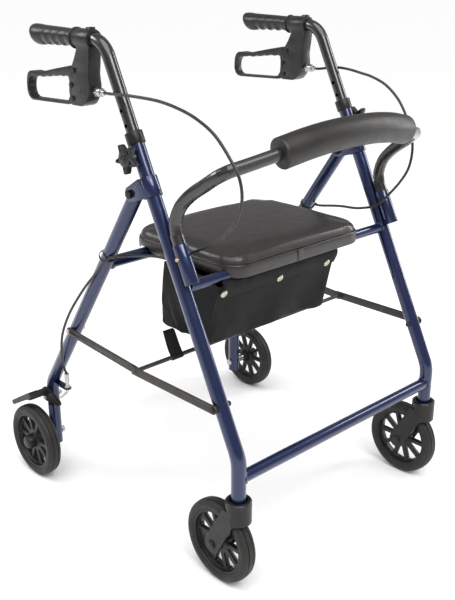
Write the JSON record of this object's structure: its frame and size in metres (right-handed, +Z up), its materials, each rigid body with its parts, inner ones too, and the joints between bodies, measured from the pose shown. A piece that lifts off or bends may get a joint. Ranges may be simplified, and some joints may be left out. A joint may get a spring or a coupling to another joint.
{
  "type": "rollator walker",
  "caption": "Folding walking frame on wheels with a padded flip-up seat, bent backrest, under-seat bag, height-adjustable handles and loop brakes.",
  "frame": {"origin": "on the floor, in the middle of the walker's footprint", "axes": "+X to the user's left, -Y the walking direction (casters in front), +Y towards the user, +Z up"},
  "size_m": [0.6674, 0.667, 0.9065],
  "materials": {
    "frame_blue": "metallic gloss",
    "black_tube": "gloss",
    "steel_link": "satin",
    "zinc": "satin",
    "brass_button": "satin",
    "dark_bolt": "satin",
    "black_plastic": "matte",
    "grey_plastic": "satin",
    "tyre_rubber": "satin",
    "vinyl": "satin",
    "nylon": "matte",
    "cable_black": "satin"
  },
  "bodies": {
    "root": {"front_leg_R": "frame_blue", "front_leg_L": "frame_blue", "front_crossbar": "frame_blue", "seat_bar": "frame_blue", "backrest_sleeves": "frame_blue", "hinge_brackets": "frame_blue", "frame_bolts": "dark_bolt", "leg_collars": "black_plastic", "backrest_tube": "black_tube", "backrest_pad": "vinyl", "caster_stems": "zinc", "under_seat_bag": "nylon", "cable_front_R": "cable_black", "cable_front_L": "cable_black", "cable_mid": "cable_black"},
    "seat": {"seat_board": "black_plastic", "seat_pad": "vinyl", "seat_clips": "black_plastic"},
    "rear_frame": {"rear_leg_R": "frame_blue", "rear_leg_L": "frame_blue", "rear_crossbar": "frame_blue", "cable_stops": "frame_blue", "rear_bolts": "zinc", "cable_adjusters_low": "zinc", "cable_low": "cable_black", "brake_springs": "zinc"},
    "front_links": {"front_links": "steel_link"},
    "rear_links": {"rear_links": "steel_link", "cross_rod": "steel_link", "lift_strap": "nylon"},
    "snap_R": {"snap_button_R": "brass_button"},
    "brake_arm_R": {"brake_arm_R": "black_plastic"},
    "rear_wheel_R": {"rear_tyre_R": "tyre_rubber", "rear_rim_R": "black_plastic"},
    "caster_R": {"caster_fork_R": "black_plastic", "front_axle_R": "black_plastic"},
    "front_wheel_R": {"front_tyre_R": "tyre_rubber", "front_rim_R": "black_plastic"},
    "handle_R": {"handle_tube_R": "black_tube", "grip_R": "grey_plastic", "brake_housing_R": "grey_plastic", "housing_screws_R": "dark_bolt", "cable_adjuster_R": "zinc"},
    "lever_R": {"brake_lever_R": "grey_plastic"},
    "knob_R": {"height_knob_R": "grey_plastic"},
    "snap_L": {"snap_button_L": "brass_button"},
    "brake_arm_L": {"brake_arm_L": "black_plastic"},
    "rear_wheel_L": {"rear_tyre_L": "tyre_rubber", "rear_rim_L": "black_plastic"},
    "caster_L": {"caster_fork_L": "black_plastic", "front_axle_L": "black_plastic"},
    "front_wheel_L": {"front_tyre_L": "tyre_rubber", "front_rim_L": "black_plastic"},
    "handle_L": {"handle_tube_L": "black_tube", "grip_L": "grey_plastic", "brake_housing_L": "grey_plastic", "housing_screws_L": "dark_bolt", "cable_adjuster_L": "zinc"},
    "lever_L": {"brake_lever_L": "grey_plastic"},
    "knob_L": {"height_knob_L": "grey_plastic"}
  },
  "joints": [
    {"name": "fold", "type": "hinge", "parent": "root", "child": "rear_frame", "pos_m": [0, -0.0564, 0.6505], "axis": [-1, 0, 0], "range_deg": [0, 40], "deforming": ["cable_mid", "under_seat_bag", "lift_strap"]},
    {"name": "front_link_turn", "type": "hinge", "parent": "root", "child": "front_links", "pos_m": [0, -0.2594, 0.3334], "axis": [1, 0, 0], "range_deg": [0, 50]},
    {"name": "rear_link_turn", "type": "hinge", "parent": "rear_frame", "child": "rear_links", "pos_m": [0, 0.15476, 0.3416], "axis": [-1, 0, 0], "range_deg": [0, 46], "deforming": ["lift_strap"]},
    {"name": "seat_flip", "type": "hinge", "parent": "root", "child": "seat", "pos_m": [0, -0.16982, 0.513], "axis": [1, 0, 0], "range_deg": [0, 95], "deforming": ["under_seat_bag"]},
    {"name": "handle_slide_R", "type": "slide", "parent": "root", "child": "handle_R", "axis": [0, 0.4463, 0.8949], "range_m": [-0.0508, 0.0762], "deforming": ["cable_front_R"]},
    {"name": "knob_turn_R", "type": "hinge", "parent": "root", "child": "knob_R", "pos_m": [-0.285, -0.07006, 0.713], "axis": [-1, 0, 0], "range_deg": [0, 360]},
    {"name": "brake_lever_R", "type": "hinge", "parent": "handle_R", "child": "lever_R", "pos_m": [-0.26, 0.09, 0.836], "axis": [1, 0, 0], "range_deg": [0, 12], "stiffness_Nm_per_rad": 3},
    {"name": "brake_arm_R", "type": "hinge", "parent": "rear_frame", "child": "brake_arm_R", "pos_m": [-0.276, 0.2565, 0.164], "axis": [-1, 0, 0], "range_deg": [0, 8], "deforming": ["brake_springs"]},
    {"name": "rear_wheel_spin_R", "type": "hinge", "parent": "rear_frame", "child": "rear_wheel_R", "pos_m": [-0.3082, 0.2575, 0.076], "axis": [1, 0, 0], "continuous": true},
    {"name": "caster_swivel_R", "type": "hinge", "parent": "root", "child": "caster_R", "pos_m": [-0.26, -0.3005, 0.15], "axis": [0, 0, 1], "continuous": true},
    {"name": "front_wheel_spin_R", "type": "hinge", "parent": "caster_R", "child": "front_wheel_R", "pos_m": [-0.26, -0.2575, 0.076], "axis": [1, 0, 0], "continuous": true},
    {"name": "snap_push_R", "type": "slide", "parent": "root", "child": "snap_R", "axis": [1, 0, 0], "range_m": [0, 0.004], "stiffness_N_per_m": 400},
    {"name": "handle_slide_L", "type": "slide", "parent": "root", "child": "handle_L", "axis": [0, 0.4463, 0.8949], "range_m": [-0.0508, 0.0762], "deforming": ["cable_front_L"]},
    {"name": "knob_turn_L", "type": "hinge", "parent": "root", "child": "knob_L", "pos_m": [0.285, -0.07006, 0.713], "axis": [1, 0, 0], "range_deg": [0, 360]},
    {"name": "brake_lever_L", "type": "hinge", "parent": "handle_L", "child": "lever_L", "pos_m": [0.26, 0.09, 0.836], "axis": [1, 0, 0], "range_deg": [0, 12], "stiffness_Nm_per_rad": 3},
    {"name": "brake_arm_L", "type": "hinge", "parent": "rear_frame", "child": "brake_arm_L", "pos_m": [0.276, 0.2565, 0.164], "axis": [-1, 0, 0], "range_deg": [0, 8], "deforming": ["brake_springs"]},
    {"name": "rear_wheel_spin_L", "type": "hinge", "parent": "rear_frame", "child": "rear_wheel_L", "pos_m": [0.3082, 0.2575, 0.076], "axis": [1, 0, 0], "continuous": true},
    {"name": "caster_swivel_L", "type": "hinge", "parent": "root", "child": "caster_L", "pos_m": [0.26, -0.3005, 0.15], "axis": [0, 0, 1], "continuous": true},
    {"name": "front_wheel_spin_L", "type": "hinge", "parent": "caster_L", "child": "front_wheel_L", "pos_m": [0.26, -0.2575, 0.076], "axis": [1, 0, 0], "continuous": true},
    {"name": "snap_push_L", "type": "slide", "parent": "root", "child": "snap_L", "axis": [-1, 0, 0], "range_m": [0, 0.004], "stiffness_N_per_m": 400}
  ],
  "couplings": [
    {"joint": "front_link_turn", "follows": "fold", "ratio": 1.2209},
    {"joint": "rear_link_turn", "follows": "fold", "ratio": 1.1188},
    {"joint": "brake_arm_R", "follows": "brake_lever_R", "ratio": 0.66667},
    {"joint": "brake_arm_L", "follows": "brake_lever_L", "ratio": 0.66667}
  ]
}
